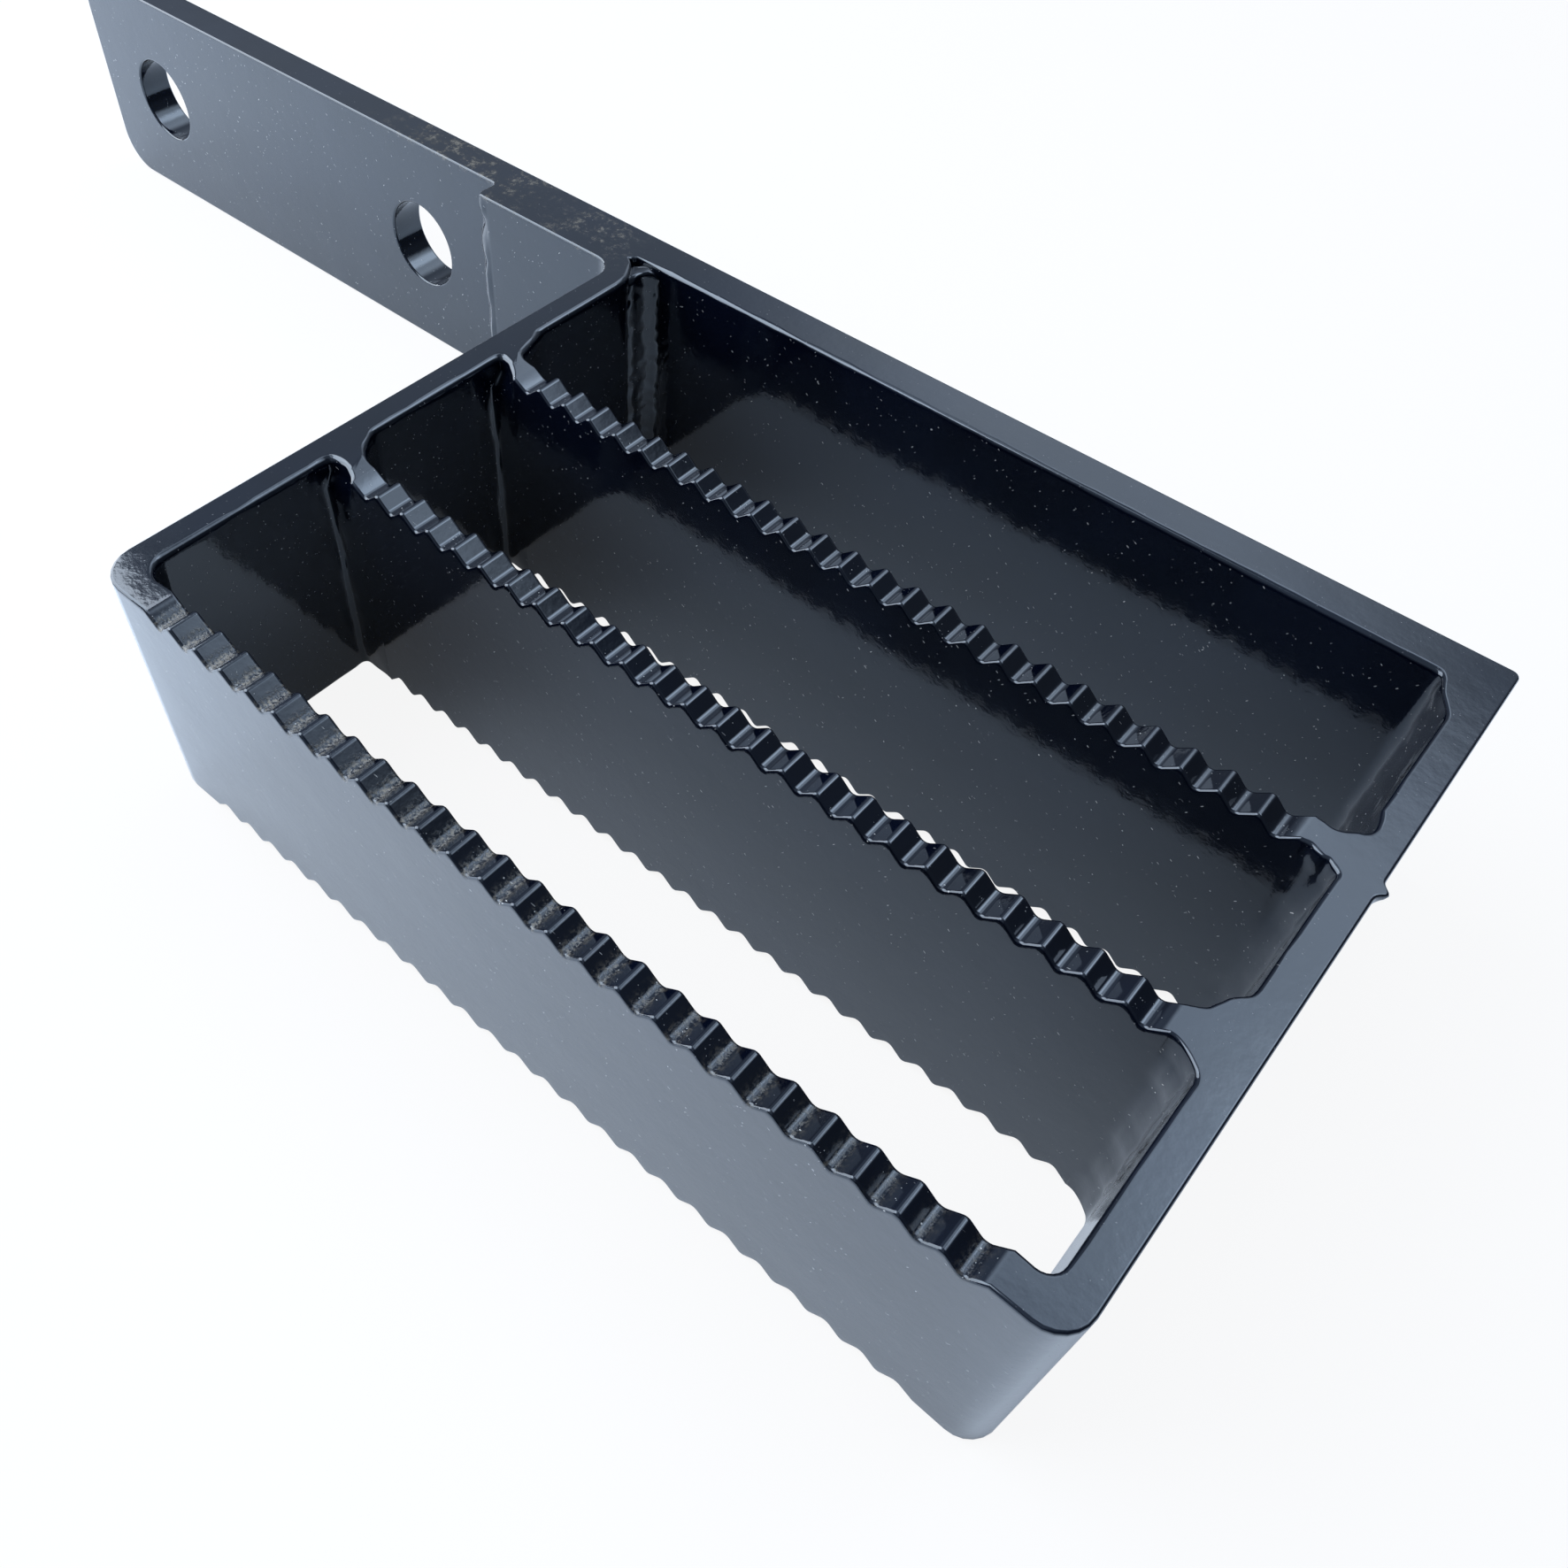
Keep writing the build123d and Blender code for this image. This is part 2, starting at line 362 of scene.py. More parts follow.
def column(c, move, z_top, z_bottom, top_move=None, nub=0.0, slope_from=None):
    """Points of the skin from the top face over the rim, down the wall and under to the bottom face."""
    top_x, top_y = c.at_top
    top_move = top_move or move

    def fall(x):
        return STUB_SLOPE * max(x - slope_from, 0.0) if slope_from is not None else 0.0

    points = []
    for k in range(RIM_STEPS + 1):
        a = math.pi / 2 * k / RIM_STEPS
        inset = c.rim * (1 - math.sin(a)) - nub
        x = top_x + top_move.x * inset
        points.append((x, top_y + top_move.y * inset, z_top - fall(x) - c.rim * (1 - math.cos(a))))
    high, low = points[-1][2], z_bottom + c.rim
    for share in LEVELS:
        z = high + (low - high) * share
        depth = high - z
        below = min(max((depth - WELD_EASE_FROM) / WELD_EASE_OVER, 0.0), 1.0)
        below = below * below * (3 - 2 * below)
        bulge = nub * math.exp(-((depth / NUB_DROP) ** 2))
        fade = min(depth, z - z_bottom, WELD_FADE) / WELD_FADE
        bulge += WELD_LUMP * c.weld * fade * (lump(c.x, c.y, z) + WELD_PROUD)
        x = top_x + (c.x - top_x) * below
        y = top_y + (c.y - top_y) * below
        points.append((x - move.x * bulge, y - move.y * bulge, z))
    for k in range(RIM_STEPS, -1, -1):
        a = math.pi / 2 * k / RIM_STEPS
        inset = c.rim * (1 - math.sin(a))
        points.append((c.x + move.x * inset, c.y + move.y * inset, z_bottom + c.rim * (1 - math.cos(a))))
    return points


class Skin:
    """Collects the faces of the painted skin."""

    def __init__(self):
        self.mesh = bmesh.new()
        self.dust = self.mesh.verts.layers.float.new("dust")

    def verts(self, points, dust=0.0):
        made = []
        for p in points:
            v = self.mesh.verts.new(Vector(p) * MM)
            v[self.dust] = dust
            made.append(v)
        return made

    def strip(self, a, b):
        """Quads between two rows of vertices."""
        for k in range(len(a) - 1):
            self.mesh.faces.new((a[k], a[k + 1], b[k + 1], b[k]))

    def face(self, verts):
        self.mesh.faces.new(verts)


def through(points, parts=3):
    """A smooth line through a list of points, as tuples of any length."""
    out = []
    last = len(points) - 1
    for i in range(last):
        p0, p1, p2, p3 = (points[min(max(j, 0), last)] for j in (i - 1, i, i + 1, i + 2))
        for k in range(parts):
            s = k / parts
            out.append(
                tuple(
                    0.5 * (2 * b + (c - a) * s + (2 * a - 5 * b + 4 * c - d) * s * s + (3 * b - a - 3 * c + d) * s**3)
                    for a, b, c, d in zip(p0, p1, p2, p3)
                )
            )
    out.append(tuple(points[last]))
    return out


def weld_line(bar, arm, side):
    """A weld's outline from the serrated row to the arm, with the stub it starts on."""
    arm_x, towards = (LEFT_IN, 1) if arm == "left" else (RIGHT_IN, -1)
    bar_y = BAR_FACE if bar == "mounting_bar" else ROWS[bar][side]
    out = -1 if side == "front" else 1
    rim = LEFT_RIM if arm == "left" else RIGHT_RIM
    at_top, lower = WELD_LINES[bar, arm, side]
    line = through([(*a, *b) for a, b in zip(at_top, lower)])
    corners = []
    for k, (u, v, low_u, low_v) in enumerate(line):
        eased = min(k / 9, 1.0)
        start_rim = BAR_RIM if bar == "mounting_bar" else RIM
        c = Corner(
            arm_x + towards * low_u,
            bar_y + out * low_v,
            rim=start_rim + (rim - start_rim) * eased,
            weld=eased if k < len(line) - 4 else 0.0,
            at_top=(arm_x + towards * u, bar_y + out * v),
            cut=k == 0 and bar != "mounting_bar",
        )
        if arm == "left" and c.at_top[0] > STUB_ROOT[bar] + 1e-6:
            c.stub = bar
        corners.append(c)
    return corners


def frame_outline():
    """The skin's outline in plan, without the serrated stretches and the bolted end of the mounting bar."""
    row = ROWS["front"]
    last = row["start"] + ROW_LENGTH
    bend_in = FRONT_BEND - STRIP
    out = [Corner(PLATE_END, BAR_FACE, cut=True)]
    bead = through(FLANGE_BEAD)
    for k, (low_x, low_y, top_x, top_y) in enumerate(bead):
        top = (FLANGE_END + top_x, BAR_FACE + top_y)
        lumpy = FLANGE_WELD_LUMPS if 3 < k < len(bead) - 3 else 0.0
        out.append(Corner(FLANGE_END + low_x, BAR_FACE + low_y, weld=lumpy, at_top=top))
    out.append(Corner(LEFT, FLANGE_FACE, FLANGE_BEND))
    out.append(Corner(LEFT, FRONT, FRONT_BEND))
    out.append(Corner(row["start"], FRONT, cut=True))
    out.append(Corner(row["start"], FRONT_IN, cut=True))
    out.append(Corner(LEFT_IN, FRONT_IN, bend_in, rim=LEFT_RIM))
    for name in ("front_tread", "rear_tread"):
        out += weld_line(name, "left", "front")[::-1]
        out += weld_line(name, "left", "rear")
    bend = FLANGE_BEND + STRIP
    centre = (LEFT - FLANGE_BEND, FLANGE_FACE - FLANGE_BEND)
    for degrees in range(0, 61, 10):
        a = math.radians(degrees)
        x, y = centre[0] + bend * math.cos(a), centre[1] + bend * math.sin(a)
        out.append(Corner(x, y, rim=LEFT_RIM if degrees < 50 else RIM))
    out.append(Corner(LEFT + GROOVE_END, BAR_FACE, rim=RIM))
    out.append(Corner(LEFT_IN + GROOVE_CLEAR, BAR_FACE, rim=BAR_RIM))
    out += weld_line("mounting_bar", "right", "front")
    for name in ("rear_tread", "front_tread"):
        out += weld_line(name, "right", "rear")[::-1]
        out += weld_line(name, "right", "front")
    out.append(Corner(RIGHT_IN, FRONT_IN, bend_in, rim=RIGHT_RIM))
    out.append(Corner(last, bent_side(last, FRONT_IN, bend_in), cut=True))
    out.append(Corner(last, bent_side(last, FRONT, FRONT_BEND), cut=True))
    out.append(Corner(RIGHT, FRONT, FRONT_BEND))
    out.append(Corner(RIGHT, BAR_BACK, REAR_CORNER))
    out.append(Corner(PLATE_END, BAR_BACK, cut=True))
    return out


def bent_side(x, y, radius):
    """Y of a face of the front bar, which starts to bend back at its right end."""
    past = max(x - (RIGHT - FRONT_BEND), 0.0)
    return y + radius - math.sqrt(radius * radius - past * past)


def row_profile(name):
    """Top of a serrated row: (x, z) from its first notch to its last, with rounded crests and roots."""
    start = ROWS[name]["start"]
    fall = STUB_SLOPE * (start - STUB_ROOT[name]) if name in STUB_ROOT else 0.0
    corners = [Corner(start, TOP - fall)]
    for k in range(NOTCHES):
        corners.append(Corner(start + (k + 0.5) * PITCH, TOP - DEPTH, ROOT_ROUND))
        corners.append(Corner(start + (k + 1) * PITCH, TOP, CREST_ROUND if k < NOTCHES - 1 else 0.0))
    return [(c.x, c.y) for c in round_corners(corners, closed=False, steps=4)]


def add_row(skin, name, dust):
    """The skin of one serrated stretch."""
    row = ROWS[name]
    before = None
    for x, z in row_profile(name):
        y0, y1 = row["front"], row["rear"]
        if name == "front":
            y0 = bent_side(x, y0, FRONT_BEND)
            y1 = bent_side(x, y1, FRONT_BEND - STRIP)
        in_root = min(max((TOP - z) / DEPTH - 0.5, 0.0) * 2.5, 1.0)
        under = -TOP + (TOP - z) if x > row["start"] else -TOP
        sides = []
        for y, move in ((y0, Vector((0, 1))), (y1, Vector((0, -1)))):
            made = skin.verts(column(Corner(x, y), move, z, under))
            for v in made[: RIM_STEPS + 1]:
                v[skin.dust] = in_root * dust
            sides.append(made)
        if before:
            skin.strip(before[0], sides[0])
            skin.strip(sides[1], before[1])
            skin.face((before[0][0], sides[0][0], sides[1][0], before[1][0]))
            skin.face((before[1][-1], sides[1][-1], sides[0][-1], before[0][-1]))
        before = sides


def nub_height(c):
    """How far the spatter on the right arm stands out at a point of the outline."""
    if c.cut or c.x < RIGHT - 0.01:
        return 0.0
    away = (c.y - NUB_Y) / NUB_SPREAD
    return NUB_HEIGHT * math.exp(-away * away)


def add_frame(skin):
    """The skin of the bent strip, the welds and the mounting bar beside them."""
    corners = divide_edges(round_corners(frame_outline(), closed=True), EDGE_STEP)
    nub_points = [Corner(RIGHT, NUB_Y + NUB_STEP * k) for k in range(-NUB_STEPS, NUB_STEPS + 1)]
    at = next(i for i, c in enumerate(corners) if c.x > RIGHT - 0.01 and c.y > nub_points[-1].y)
    before_nub = [c for c in corners[:at] if c.x < RIGHT - 0.01 or c.y < nub_points[0].y]
    corners = before_nub + nub_points + corners[at:]
    for c in corners:
        if c.rim > RIM and not c.cut:
            at = Vector((c.x * RIM_SWING_SCALE, c.y * RIM_SWING_SCALE, 4.0))
            c.rim *= 1 + RIM_SWING * noise.noise(at)
    cuts = [c.cut for c in corners]
    moves = inward([(c.x, c.y) for c in corners], cuts)
    top_moves = inward([c.at_top for c in corners], cuts)
    columns = []
    for c, move, top_move in zip(corners, moves, top_moves):
        points = column(c, move, TOP, -TOP, top_move, nub_height(c), STUB_ROOT.get(c.stub))
        columns.append(skin.verts(points))
    for i in range(len(corners)):
        j = (i + 1) % len(corners)
        if not (cuts[i] and cuts[j]):
            skin.strip(columns[i], columns[j])
    skin.face([col[0] for c, col in zip(corners, columns) if not c.stub])
    for name in STUB_ROOT:
        run = [i for i, c in enumerate(corners) if c.stub == name]
        skin.face([columns[i][0] for i in range(run[0] - 1, run[-1] + 2)])
    skin.face([col[-1] for col in columns][::-1])


def rim_rings(x, z, move, radius):
    """Points around an edge of the plate, from its front face over to its rear face."""
    points = []
    for side, y in ((1, BAR_FACE), (-1, BAR_BACK)):
        ring = []
        for k in range(RIM_STEPS + 1):
            a = math.pi / 2 * k / RIM_STEPS
            inset = radius * (1 - math.sin(a))
            ring.append((x + move.x * inset, y + side * radius * (1 - math.cos(a)), z + move.y * inset))
        points += ring if side > 0 else ring[::-1]
    return points


def add_bolted_end(skin):
    """The skin of the mounting bar's bolted end, with its holes."""
    free = bar_low.x
    outline = [
        Corner(PLATE_END, TOP, cut=True),
        Corner(free, TOP, FREE_END_RADIUS),
        Corner(free, -TOP, FREE_END_RADIUS),
        Corner(PLATE_END, -TOP, cut=True),
    ]
    corners = divide_edges(round_corners(outline, closed=True, steps=FREE_END_STEPS), EDGE_STEP)
    moves = inward([(c.x, c.y) for c in corners], [c.cut for c in corners])
    rings = [skin.verts(rim_rings(c.x, c.y, m, RIM)) for c, m in zip(corners, moves)]
    for i, c in enumerate(corners):
        j = (i + 1) % len(corners)
        if not (c.cut and corners[j].cut):
            skin.strip(rings[i], rings[j])
    loops = [rings]
    for x in (-HOLE_X, HOLE_X):
        hole = []
        for k in range(HOLE_SEGMENTS):
            a = 2 * math.pi * k / HOLE_SEGMENTS
            out = Vector((math.cos(a), math.sin(a)))
            hole.append(skin.verts(rim_rings(x + out.x * HOLE_R, out.y * HOLE_R, out, RIM)))
        for k in range(HOLE_SEGMENTS):
            skin.strip(hole[k], hole[(k + 1) % HOLE_SEGMENTS])
        loops.append(hole)
    for end, y in ((0, BAR_FACE), (-1, BAR_BACK)):
        high, low = TOP - RIM, RIM - TOP
        across = [(PLATE_END, y, low + (high - low) * (1 - share)) for share in LEVELS[::-1]]
        seam = skin.verts(across)
        outer = [ring[end] for ring in rings] + seam
        fill_with_holes(skin, outer, [[ring[end] for ring in hole] for hole in loops[1:]])


def fill_with_holes(skin, outer, holes):
    """Flat face inside one loop of vertices and outside the others."""
    edges = []
    for loop in [outer, *holes]:
        for a, b in zip(loop, loop[1:] + loop[:1]):
            edges.append(skin.mesh.edges.get((a, b)) or skin.mesh.edges.new((a, b)))
    bmesh.ops.triangle_fill(skin.mesh, use_beauty=True, edges=edges)


def build_skin():
    """The whole painted skin as one closed mesh."""
    skin = Skin()
    add_frame(skin)
    add_bolted_end(skin)
    for name, dust in (("front", 1.0), ("front_tread", 0.25), ("rear_tread", 0.2)):
        add_row(skin, name, dust)
    bmesh.ops.remove_doubles(skin.mesh, verts=skin.mesh.verts, dist=MERGE)
    bmesh.ops.recalc_face_normals(skin.mesh, faces=skin.mesh.faces)
    data = bpy.data.meshes.new("painted_step")
    skin.mesh.to_mesh(data)
    skin.mesh.free()
    data.polygons.foreach_set("use_smooth", [True] * len(data.polygons))
    obj = bpy.data.objects.new("painted_step", data)
    bpy.context.scene.collection.objects.link(obj)
    smooth = obj.modifiers.new("even_shading", "WEIGHTED_NORMAL")
    smooth.mode = "FACE_AREA"
    smooth.weight = 80
    return obj


def build_corner_bead():
    """Lumpy weld bead in the groove between the bent strip and the mounting bar, short of the top."""
    section = through(BEAD_SECTION, parts=4)[:-1]
    middle = Vector(BEAD_MIDDLE)
    mesh = bmesh.new()
    before = None
    for k in range(BEAD_ROWS + 1):
        z = BEAD_FOOT + (BEAD_TOP - BEAD_FOOT) * k / BEAD_ROWS
        from_top = BEAD_TOP - z
        dome = math.sqrt(1 - (1 - from_top / BEAD_DOME) ** 2) if from_top < BEAD_DOME else 1.0
        ring = []
        for x, y in section:
            spoke = Vector((x, y)) - middle
            ripple = 0.025 * math.sin(z * 2.4 + 1.5 * spoke.y)
            ripple += 0.2 * lump(LEFT + x * 2.2, y * 2.2, z * 1.05)
            spoke *= (0.5 + 0.5 * dome) * (1 + ripple)
            at = Vector((LEFT + middle.x + spoke.x, BAR_FACE + middle.y + spoke.y, z))
            ring.append(mesh.verts.new(at * MM))
        if before:
            for i in range(len(ring)):
                j = (i + 1) % len(ring)
                mesh.faces.new((before[i], before[j], ring[j], ring[i]))
        else:
            mesh.faces.new(ring[::-1])
        before = ring
    mesh.faces.new(before)
    bmesh.ops.recalc_face_normals(mesh, faces=mesh.faces)
    data = bpy.data.meshes.new("corner_bead")
    mesh.to_mesh(data)
    mesh.free()
    data.polygons.foreach_set("use_smooth", [True] * len(data.polygons))
    obj = bpy.data.objects.new("corner_bead", data)
    bpy.context.scene.collection.objects.link(obj)
    return obj


class Nodes:
    """Short ways to add shader nodes."""

    def __init__(self, tree):
        self.tree = tree

    def add(self, kind, **settings):
        node = self.tree.nodes.new(kind)
        for key, value in settings.items():
            setattr(node, key, value)
        return node

    def link(self, a, b):
        self.tree.links.new(a, b)

    def feed(self, socket, value):
        if isinstance(value, (int, float, tuple)):
            socket.default_value = value
        else:
            self.link(value, socket)

    def math(self, operation, a, b=0.0, clamp=False):
        node = self.add("ShaderNodeMath", operation=operation, use_clamp=clamp)
        self.feed(node.inputs[0], a)
        self.feed(node.inputs[1], b)
        return node.outputs[0]

    def noise(self, at, scale, detail=3.0, rough=0.5):
        node = self.add("ShaderNodeTexNoise")
        node.inputs["Scale"].default_value = scale
        node.inputs["Detail"].default_value = detail
        node.inputs["Roughness"].default_value = rough
        self.link(at, node.inputs["Vector"])
        return node.outputs["Fac"]

    def ramp(self, value, low, high, to_low=0.0, to_high=1.0):
        node = self.add("ShaderNodeMapRange", interpolation_type="SMOOTHSTEP", clamp=True)
        self.link(value, node.inputs["Value"])
        for name, number in (("From Min", low), ("From Max", high), ("To Min", to_low), ("To Max", to_high)):
            node.inputs[name].default_value = number
        return node.outputs["Result"]

    def near(self, at, point, radius):
        """1 close to a point, falling to 0 at a radius."""
        away = self.add("ShaderNodeVectorMath", operation="DISTANCE")
        self.link(at, away.inputs[0])
        away.inputs[1].default_value = point
        return self.ramp(away.outputs["Value"], radius, radius * 0.2)

    def scatter(self, at, scale, sparse, reach):
        """Scattered small spots of uneven size."""
        spots = self.add("ShaderNodeTexVoronoi", feature="F1")
        spots.inputs["Scale"].default_value = scale
        self.link(at, spots.inputs["Vector"])
        chance = self.add("ShaderNodeSeparateColor")
        self.link(spots.outputs["Color"], chance.inputs["Color"])
        size = self.ramp(chance.outputs["Red"], sparse, 1.0, 0.0, reach)
        spot = self.math("LESS_THAN", spots.outputs["Distance"], size)
        return self.math("MULTIPLY", spot, self.ramp(chance.outputs["Green"], 0.0, 1.0, 0.1, 0.85))

    def dashes(self, at, turn):
        """Scattered short marks along one direction."""
        turned = self.add("ShaderNodeMapping", vector_type="TEXTURE")
        turned.inputs["Rotation"].default_value = turn
        turned.inputs["Scale"].default_value = (2.8, 0.44, 0.44)
        self.link(at, turned.inputs["Vector"])
        return self.scatter(turned.outputs["Vector"], 1.0, 0.78, 0.17)

    def mix(self, share, a, b):
        node = self.add("ShaderNodeMix", data_type="RGBA")
        self.feed(node.inputs[0], share)
        self.feed(node.inputs[6], a)
        self.feed(node.inputs[7], b)
        return node.outputs[2]


def gloss_black_paint():
    """Thick gloss black paint, a little wavy, with dust specks, dirt in the notches and scuffs."""
    material = bpy.data.materials.new("gloss_black_paint")
    material.use_nodes = True
    tree = material.node_tree
    n = Nodes(tree)
    shader = tree.nodes["Principled BSDF"]
    place = n.add("ShaderNodeTexCoord").outputs["Object"]
    to_mm = n.add("ShaderNodeVectorMath", operation="SCALE")
    to_mm.inputs["Scale"].default_value = 1 / MM
    n.link(place, to_mm.inputs[0])
    at = to_mm.outputs[0]

    tone = n.ramp(n.noise(at, 0.05, 4.0), 0.35, 0.65)
    paint = n.mix(tone, PAINT_DARK, PAINT_LIGHT)

    specks = n.scatter(at, 1.0, 0.6, 0.12)
    dashes = n.math("MAXIMUM", n.dashes(at, (0.2, 0.6, 0.3)), n.dashes(at, (0.5, -0.8, -0.4)))

    roots = n.ramp(n.add("ShaderNodeAttribute", attribute_name="dust").outputs["Fac"], 0.2, 0.9)
    split = n.add("ShaderNodeSeparateXYZ")
    n.link(at, split.inputs[0])
    to_left = n.ramp(split.outputs["X"], RIGHT_IN, LEFT + 30, 0.25, 1.0)
    grit = n.ramp(n.noise(at, 1.7, 5.0, 0.7), 0.44, 0.66)
    root_dirt = n.math("MULTIPLY", n.math("MULTIPLY", roots, to_left), grit)
    scuff_a = n.near(at, (FLANGE_END - 8.0, BAR_FACE + 2.0, TOP), 34.0)
    scuff_b = n.near(at, (LEFT - 10.0, BAR_FACE - 1.0, TOP), 14.0)
    fine_grit = n.ramp(n.noise(at, 0.38, 8.0, 0.78), 0.5, 0.7)
    scuffs = n.math("MULTIPLY", n.math("MAXIMUM", scuff_a, scuff_b), fine_grit)
    scuffs = n.math("MULTIPLY", scuffs, n.ramp(split.outputs["Z"], TOP - 1.2, TOP - 0.3))
    dirt = n.math("MAXIMUM", root_dirt, n.math("MULTIPLY", scuffs, 0.75))
    colour = n.mix(n.math("MULTIPLY", dirt, 0.8), paint, DIRT)
    flecks = n.math("MAXIMUM", specks, dashes)
    inside = n.ramp(split.outputs["Z"], TOP - 0.3, TOP - 1.2, 0.2, 1.0)
    flecks = n.math("MULTIPLY", flecks, inside)
    colour = n.mix(flecks, colour, FLECK)
    dirt = n.math("MAXIMUM", dirt, flecks, clamp=True)
    n.link(colour, shader.inputs["Base Color"])

    haze = n.ramp(n.noise(at, 0.12, 5.0, 0.6), 0.3, 0.75, 0.07, 0.13)
    roughness = n.add("ShaderNodeMix", data_type="FLOAT")
    n.link(dirt, roughness.inputs[0])
    n.link(haze, roughness.inputs[2])
    roughness.inputs[3].default_value = 0.75
    n.link(roughness.outputs[0], shader.inputs["Roughness"])
    shader.inputs["IOR"].default_value = 1.5
    shader.inputs["Specular Tint"].default_value = (0.6, 0.8, 1.0, 1)
    shader.inputs["Coat Weight"].default_value = 1.0
    shader.inputs["Coat Roughness"].default_value = 0.07
    shader.inputs["Coat IOR"].default_value = 1.5

    waves = n.noise(at, 0.045, 3.0)
    peel = n.noise(at, 0.8, 2.0, 0.55)
    grain = n.math("MULTIPLY", dirt, 0.4)
    height = n.math("ADD", n.math("MULTIPLY", waves, 2.2), n.math("MULTIPLY", peel, 0.2))
    height = n.math("ADD", height, grain)
    bump = n.add("ShaderNodeBump")
    bump.inputs["Strength"].default_value = 0.35
    bump.inputs["Distance"].default_value = 0.2 * MM
    n.link(height, bump.inputs["Height"])
    n.link(bump.outputs["Normal"], shader.inputs["Normal"])
    coat_bump = n.add("ShaderNodeBump")
    coat_bump.inputs["Strength"].default_value = 0.3
    coat_bump.inputs["Distance"].default_value = 0.2 * MM
    n.link(height, coat_bump.inputs["Height"])
    n.link(coat_bump.outputs["Normal"], shader.inputs["Coat Normal"])
    return material


def floor_material():
    """Pale floor that takes the shadow and reads white to the camera."""
    material = bpy.data.materials.new("pale_floor")
    material.use_nodes = True
    tree = material.node_tree
    n = Nodes(tree)
    shader = tree.nodes["Principled BSDF"]
    shader.inputs["Base Color"].default_value = (0.79, 0.85, 0.92, 1)
    shader.inputs["Roughness"].default_value = 0.8
    shader.inputs["Specular IOR Level"].default_value = 0.1
    white = n.add("ShaderNodeEmission")
    white.inputs["Strength"].default_value = 1.0
    path = n.add("ShaderNodeLightPath")
    seen = n.math("MULTIPLY", path.outputs["Is Camera Ray"], 0.9)
    mirrored = n.math("MAXIMUM", path.outputs["Is Glossy Ray"], path.outputs["Is Transmission Ray"])
    share = n.math("MAXIMUM", seen, n.math("MULTIPLY", mirrored, 0.1))
    mix = n.add("ShaderNodeMixShader")
    n.link(share, mix.inputs[0])
    n.link(shader.outputs[0], mix.inputs[1])
    n.link(white.outputs[0], mix.inputs[2])
    n.link(mix.outputs[0], tree.nodes["Material Output"].inputs["Surface"])
    return material


def add_floor():
    half = 4.0
    data = bpy.data.meshes.new("floor")
    z = -TOP * MM
    data.from_pydata([(-half, -half, z), (half, -half, z), (half, half, z), (-half, half, z)], [], [(0, 1, 2, 3)])
    floor = bpy.data.objects.new("floor", data)
    bpy.context.scene.collection.objects.link(floor)
    data.materials.append(floor_material())


def add_softbox(name, towards, distance, side, radiance, colour):
    """Square area lamp that faces the step from a direction."""
    aim = Vector(((LEFT + RIGHT) / 2, FRONT / 2, 0)) * MM
    lamp = bpy.data.lights.new(name, "AREA")
    lamp.shape = "SQUARE"
    lamp.size = side
    lamp.energy = radiance * math.pi * side * side
    lamp.color = colour
    obj = bpy.data.objects.new(name, lamp)
    direction = Vector(towards).normalized()
    obj.location = aim + direction * distance
    obj.rotation_euler = direction.to_track_quat("Z", "Y").to_euler()
    bpy.context.scene.collection.objects.link(obj)


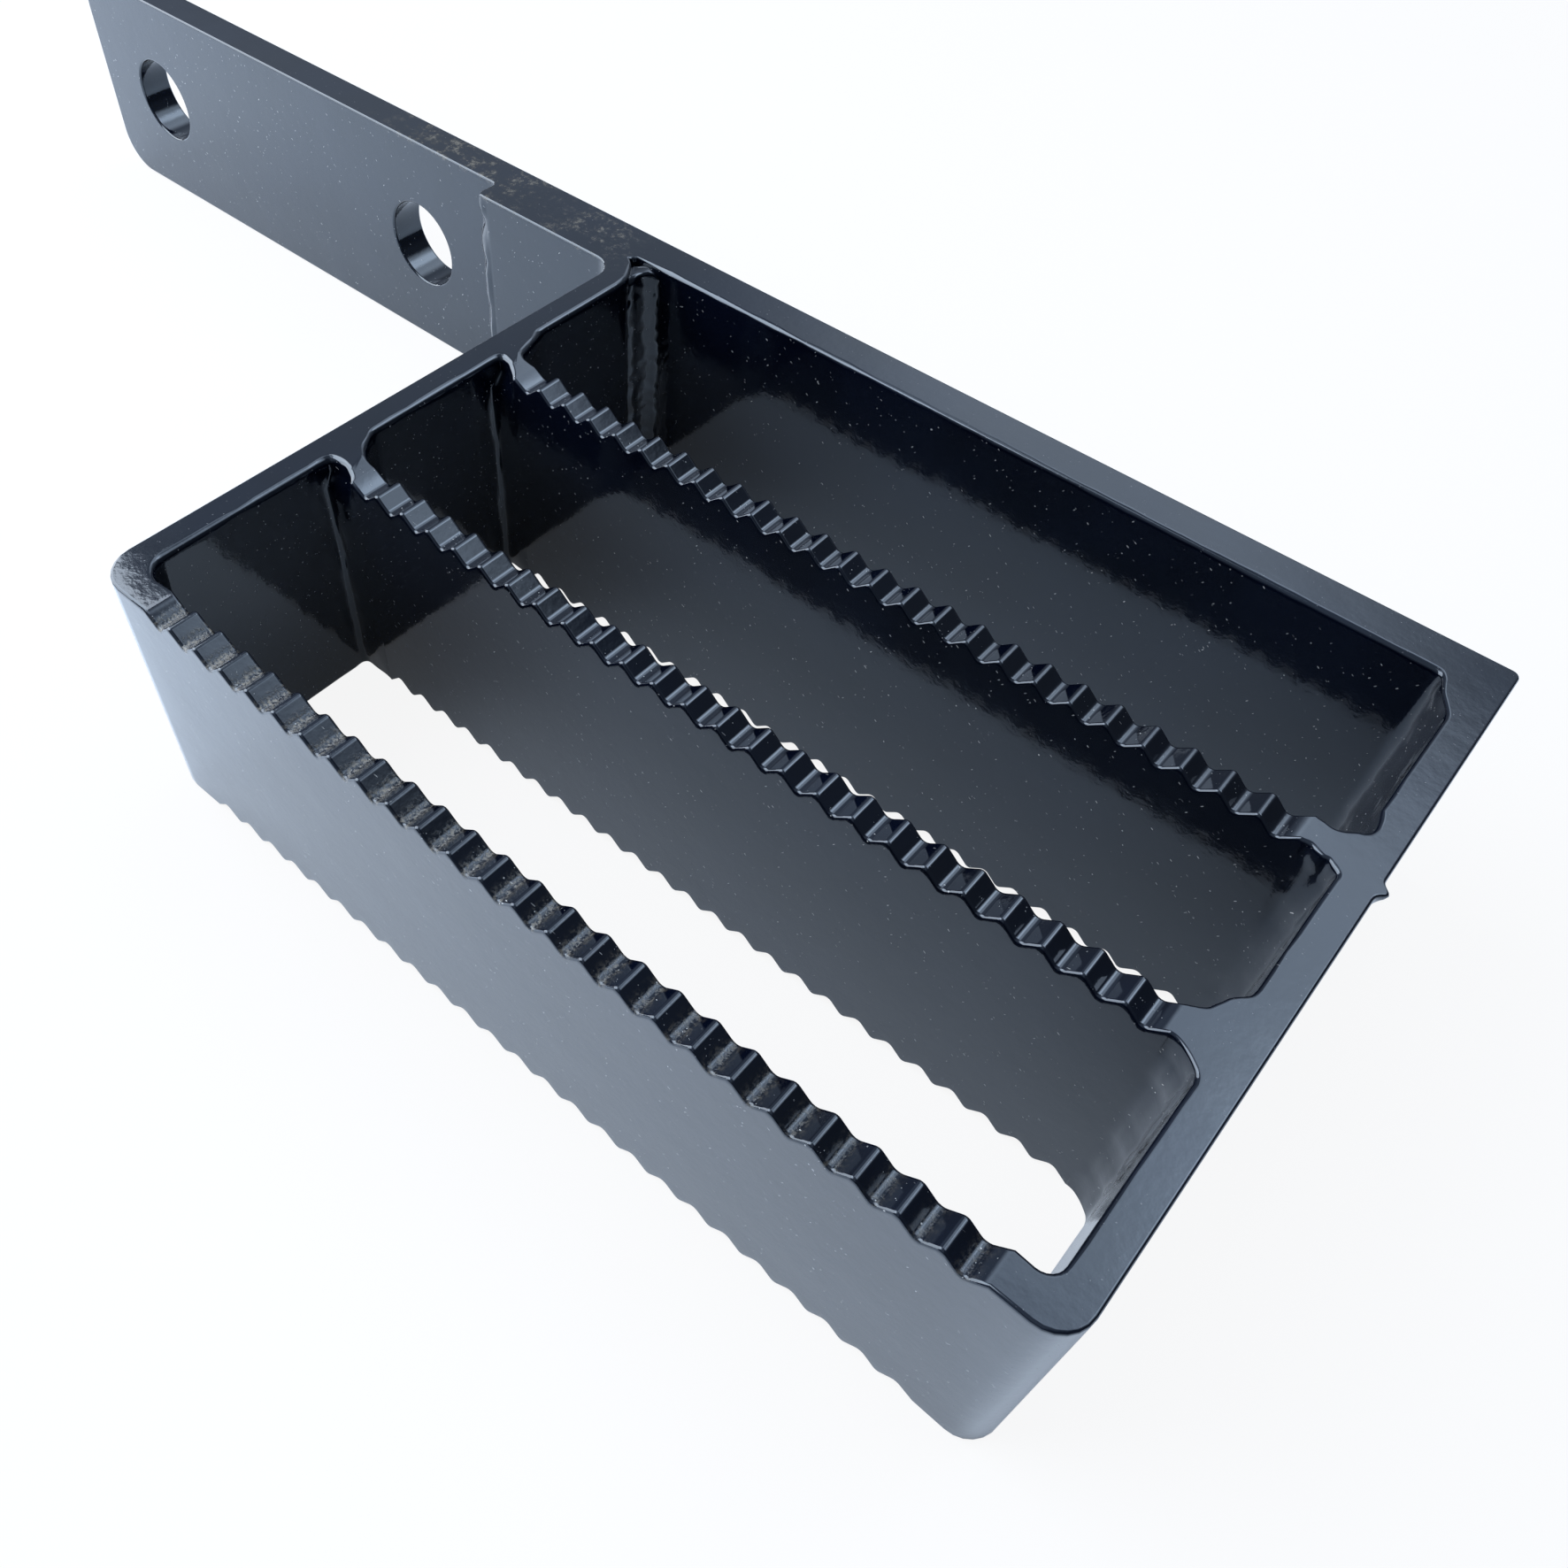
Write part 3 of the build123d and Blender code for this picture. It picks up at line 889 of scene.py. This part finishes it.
def add_world():
    """Dim cool surroundings with a soft window high behind the step; reads white to the camera."""
    world = bpy.data.worlds.new("surroundings")
    bpy.context.scene.world = world
    world.use_nodes = True
    tree = world.node_tree
    n = Nodes(tree)
    towards = n.add("ShaderNodeTexCoord").outputs["Generated"]
    split = n.add("ShaderNodeSeparateXYZ")
    n.link(towards, split.inputs[0])
    x, y, z = split.outputs
    window = n.math("MULTIPLY", n.ramp(z, 0.60, 0.74), n.ramp(z, 0.98, 0.9))
    window = n.math("MULTIPLY", window, n.math("MULTIPLY", n.ramp(x, -0.5, -0.2), n.ramp(x, 0.75, 0.5)))
    window = n.math("MULTIPLY", window, n.ramp(y, 0.05, 0.35))
    sill = n.near(towards, (-0.25, 0.77, 0.58), 0.34)
    core = n.near(towards, (0.24, 0.52, 0.83), 0.25)
    level = n.math("ADD", n.math("MULTIPLY", window, 1.7), n.math("MULTIPLY", sill, 0.8))
    level = n.math("ADD", level, n.math("MULTIPLY", core, 3.0))
    shade = n.math("MULTIPLY", n.ramp(z, 0.2, 0.48, 0.25, 1.0), n.ramp(x, 0.6, 0.25, 0.2, 1.0))
    dim = n.mix(shade, DARK_SIDE, DIM_SIDE)
    ground = tree.nodes["Background"]
    sky = n.mix(n.math("DIVIDE", level, WINDOW_LEVEL), dim, WINDOW)
    n.link(sky, ground.inputs["Color"])
    ground.inputs["Strength"].default_value = 1.0
    white = n.add("ShaderNodeBackground")
    white.inputs["Color"].default_value = (1, 1, 1, 1)
    white.inputs["Strength"].default_value = 1.0
    path = n.add("ShaderNodeLightPath")
    mix = n.add("ShaderNodeMixShader")
    n.link(path.outputs["Is Camera Ray"], mix.inputs[0])
    n.link(ground.outputs[0], mix.inputs[1])
    n.link(white.outputs[0], mix.inputs[2])
    n.link(mix.outputs[0], tree.nodes["World Output"].inputs["Surface"])


def add_camera():
    """Camera at the photograph's place, for a square picture."""
    data = bpy.data.cameras.new("camera")
    data.sensor_width = 36.0
    data.lens = CAMERA_LENS
    data.shift_x, data.shift_y = CAMERA_SHIFT
    data.clip_start = 0.005
    data.clip_end = 50.0
    camera = bpy.data.objects.new("camera", data)
    camera.location = Vector(CAMERA_AT) * MM
    camera.rotation_euler = Euler([math.radians(turn) for turn in CAMERA_TURN], "XYZ")
    bpy.context.scene.collection.objects.link(camera)
    bpy.context.scene.camera = camera


step = build_skin()
bead = build_corner_bead()
paint = gloss_black_paint()
for piece in (step, bead):
    piece.data.materials.append(paint)
    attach(piece, "root")
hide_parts(*sorted(set(frame["nodes"]) - {"left_corner_weld"}))
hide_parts("left_corner_weld")

add_floor()
add_world()
for name, panel in PANELS.items():
    add_softbox(name, *panel)
add_camera()
bpy.context.scene.view_settings.view_transform = "Standard"
